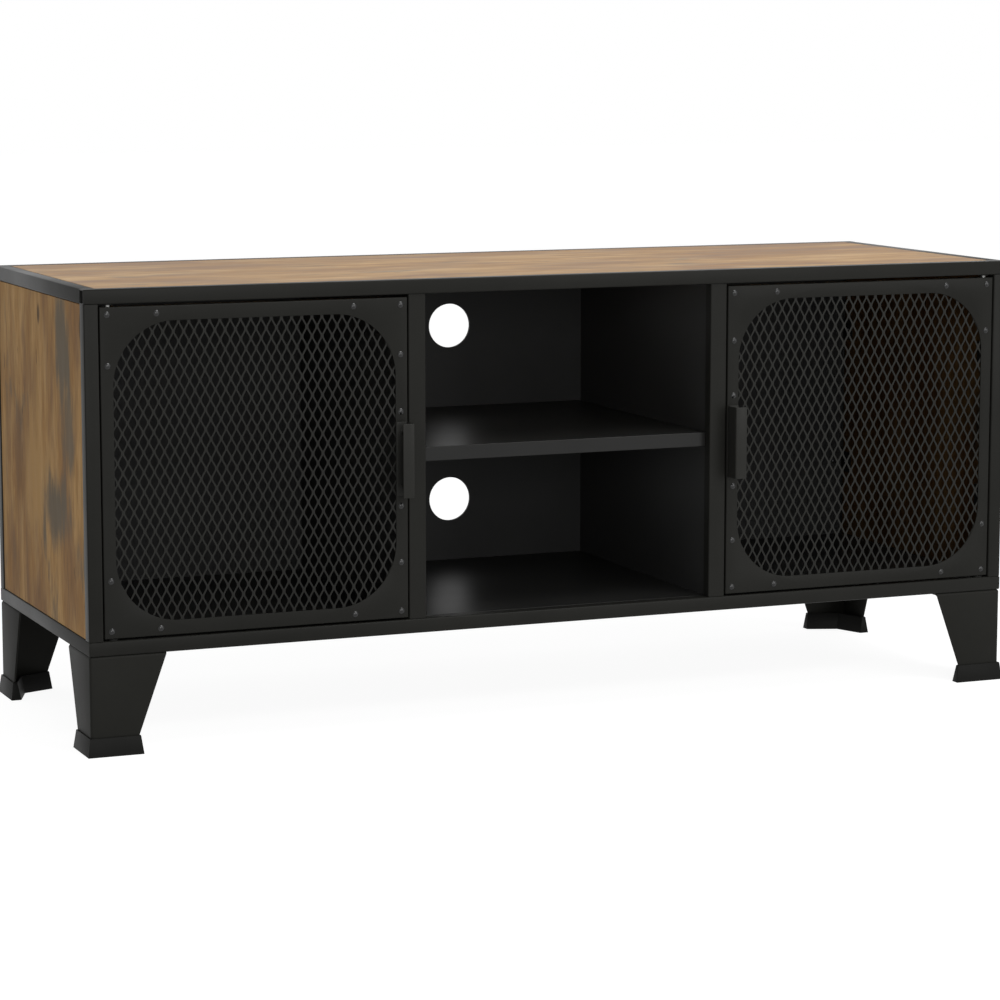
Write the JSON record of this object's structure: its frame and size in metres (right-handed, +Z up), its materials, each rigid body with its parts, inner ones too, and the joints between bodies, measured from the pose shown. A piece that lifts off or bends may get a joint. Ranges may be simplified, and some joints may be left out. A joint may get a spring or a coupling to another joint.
{
  "type": "tv stand with doors",
  "caption": "Low television stand: black steel tube frame, rustic wood top and sides, mesh-panel doors that swing open at both ends, and an open niche with a shelf between them.",
  "frame": {"origin": "on the floor, under the middle of the overall box with handles and flared feet", "axes": "+X to the right seen from the front, +Y to the back, +Z up"},
  "size_m": [1.058, 0.3844, 0.47],
  "materials": {
    "black_steel": "black powder coat, fine texture, satin",
    "mesh_steel": "black powder coat on expanded metal",
    "rivet_steel": "black, smooth and glossy",
    "bright_steel": "bright turned steel",
    "zinc_steel": "black zinc plated",
    "rustic_wood": "matt rustic brown wood print with dark weathered patches",
    "black_board": "black melamine, low sheen",
    "dowel_wood": "bare beech",
    "black_plastic": "moulded, matt",
    "magnet": "ferrite, dull grey"
  },
  "bodies": {
    "cabinet": {"back_panel": "black_board", "back_panel_screws": "zinc_steel", "bottom_front_rail": "black_steel", "bottom_left_rail": "black_steel", "bottom_panel": "black_board", "bottom_rear_rail": "black_steel", "bottom_right_rail": "black_steel", "catch_housings": "black_plastic", "catch_magnets": "magnet", "catch_screws": "zinc_steel", "divider_dowels": "dowel_wood", "divider_screws": "zinc_steel", "front_left_foot": "black_plastic", "front_left_leg": "black_steel", "front_left_post": "black_steel", "front_right_foot": "black_plastic", "front_right_leg": "black_steel", "front_right_post": "black_steel", "hinge_bushings": "black_plastic", "left_divider": "black_board", "left_divider_channel": "black_steel", "left_side_panel": "rustic_wood", "leg_screws": "zinc_steel", "middle_shelf": "black_board", "panel_screws": "zinc_steel", "panel_tabs": "black_steel", "rail_end_plugs": "black_plastic", "rear_left_foot": "black_plastic", "rear_left_leg": "black_steel", "rear_left_post": "black_steel", "rear_right_foot": "black_plastic", "rear_right_leg": "black_steel", "rear_right_post": "black_steel", "right_divider": "black_board", "right_divider_channel": "black_steel", "right_side_panel": "rustic_wood", "shelf_pins": "zinc_steel", "top_front_rail": "black_steel", "top_left_rail": "black_steel", "top_panel": "rustic_wood", "top_rear_rail": "black_steel", "top_right_rail": "black_steel"},
    "left_door": {"left_door_frame": "black_steel", "left_door_mesh": "mesh_steel", "left_door_rivets": "rivet_steel", "left_handle": "black_steel", "left_handle_rivets": "rivet_steel", "left_hinge_pins": "bright_steel", "left_pin_plates": "black_steel", "left_strike_plate": "black_steel"},
    "right_door": {"right_door_frame": "black_steel", "right_door_mesh": "mesh_steel", "right_door_rivets": "rivet_steel", "right_handle": "black_steel", "right_handle_rivets": "rivet_steel", "right_hinge_pins": "bright_steel", "right_pin_plates": "black_steel", "right_strike_plate": "black_steel"}
  },
  "joints": [
    {"name": "left_door_hinge", "type": "hinge", "parent": "cabinet", "child": "left_door", "pos_m": [-0.4991, -0.16575, 0.2855], "axis": [0, 0, -1], "range_deg": [0, 110]},
    {"name": "right_door_hinge", "type": "hinge", "parent": "cabinet", "child": "right_door", "pos_m": [0.4991, -0.16575, 0.2855], "axis": [0, 0, 1], "range_deg": [0, 110]}
  ]
}
